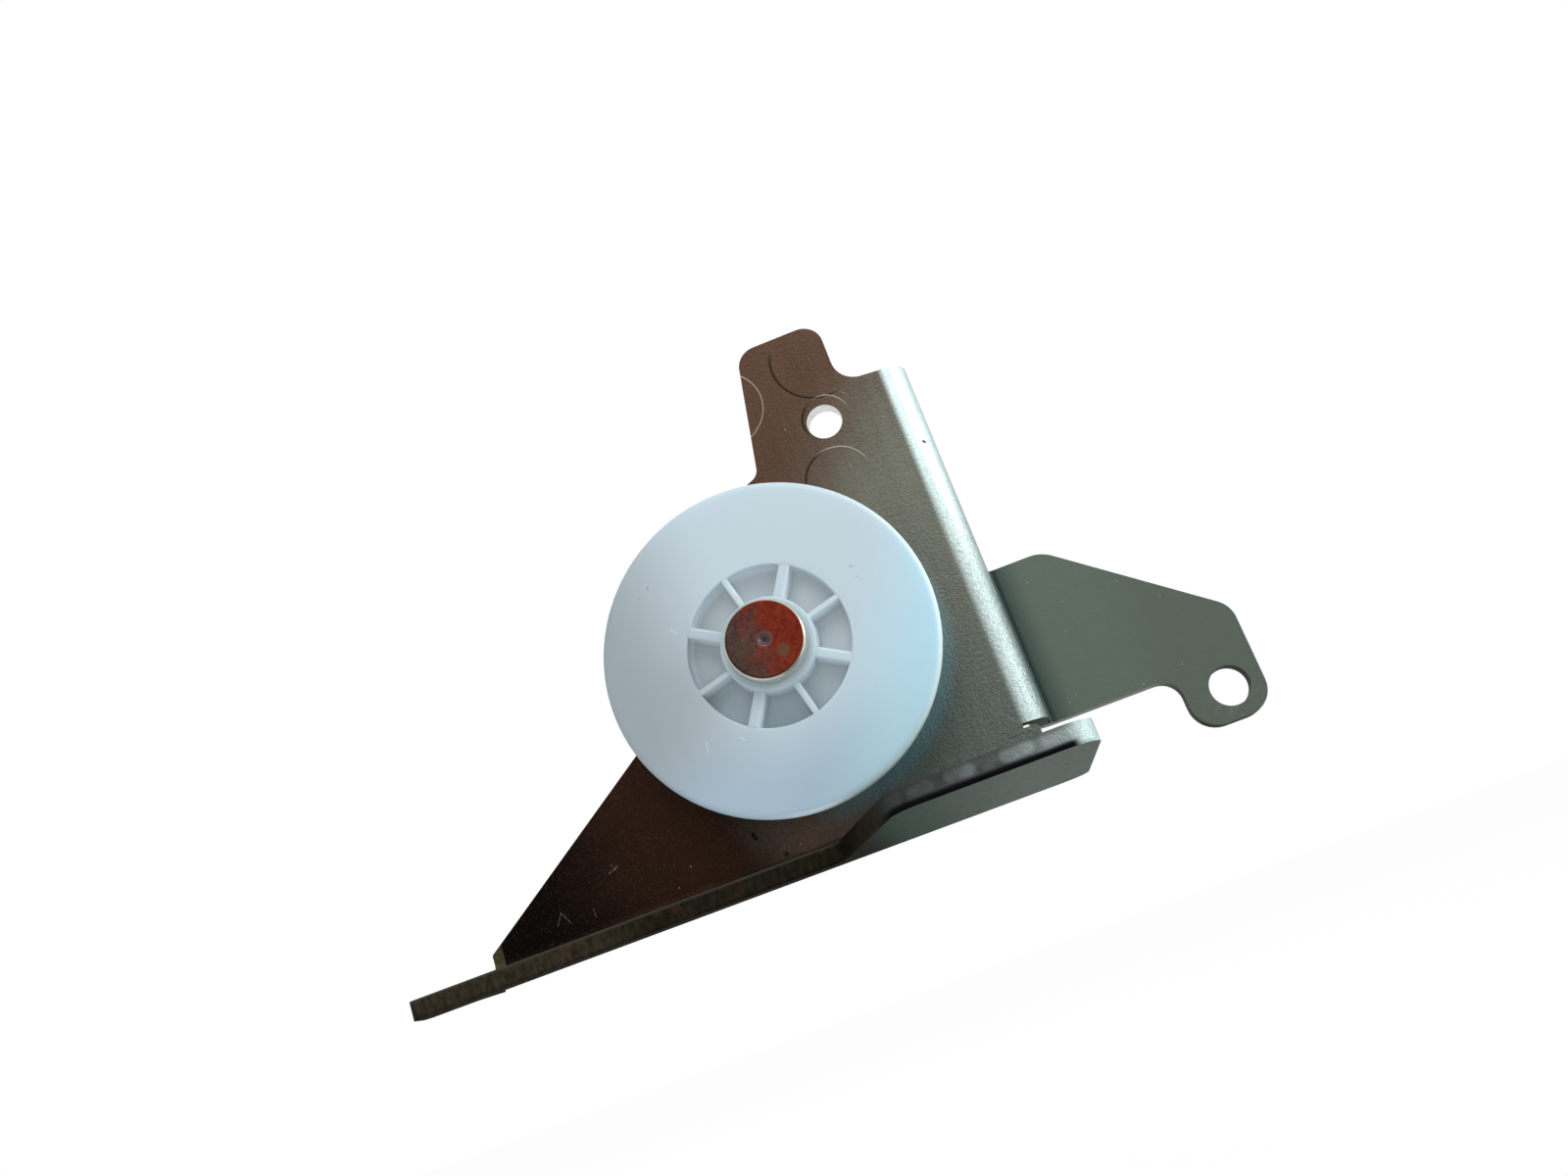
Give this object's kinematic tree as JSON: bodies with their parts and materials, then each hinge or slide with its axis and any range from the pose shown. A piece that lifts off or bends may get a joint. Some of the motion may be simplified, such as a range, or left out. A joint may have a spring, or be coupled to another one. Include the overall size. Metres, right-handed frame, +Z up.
{
  "type": "roller bracket of a microwave oven's door hinge",
  "caption": "Folded zinc plated steel hinge bracket with a moulded roller on a headed shoulder rivet, a locating tongue, and screw holes in its ear and its offset tab.",
  "frame": {"origin": "centre of the upper screw hole, on the front face of the main plate", "axes": "X runs along the lower flange to the right, away from the locating tongue; Y goes through the plate, away from the viewer, and is the axis of the upper screw hole and parallel to the roller's axle; Z is up along the plate, from the lower flange to the ear"},
  "size_m": [0.0954, 0.037, 0.0584],
  "materials": {
    "zinc_steel": "aged zinc plating with vertical rolling grain, tarnished brown-grey, rust at the sheared edges",
    "rivet_steel": "plated steel rivet, stained rust red and purple-brown",
    "nylon": "milky translucent natural nylon, satin"
  },
  "bodies": {
    "bracket": {"bracket": "zinc_steel", "axle_rivet": "rivet_steel"},
    "roller": {"roller": "nylon"}
  },
  "joints": [
    {"name": "roller_spin", "type": "hinge", "parent": "bracket", "child": "roller", "pos_m": [-0.0136, 0, -0.0238], "axis": [0, -1, 0], "continuous": true}
  ]
}
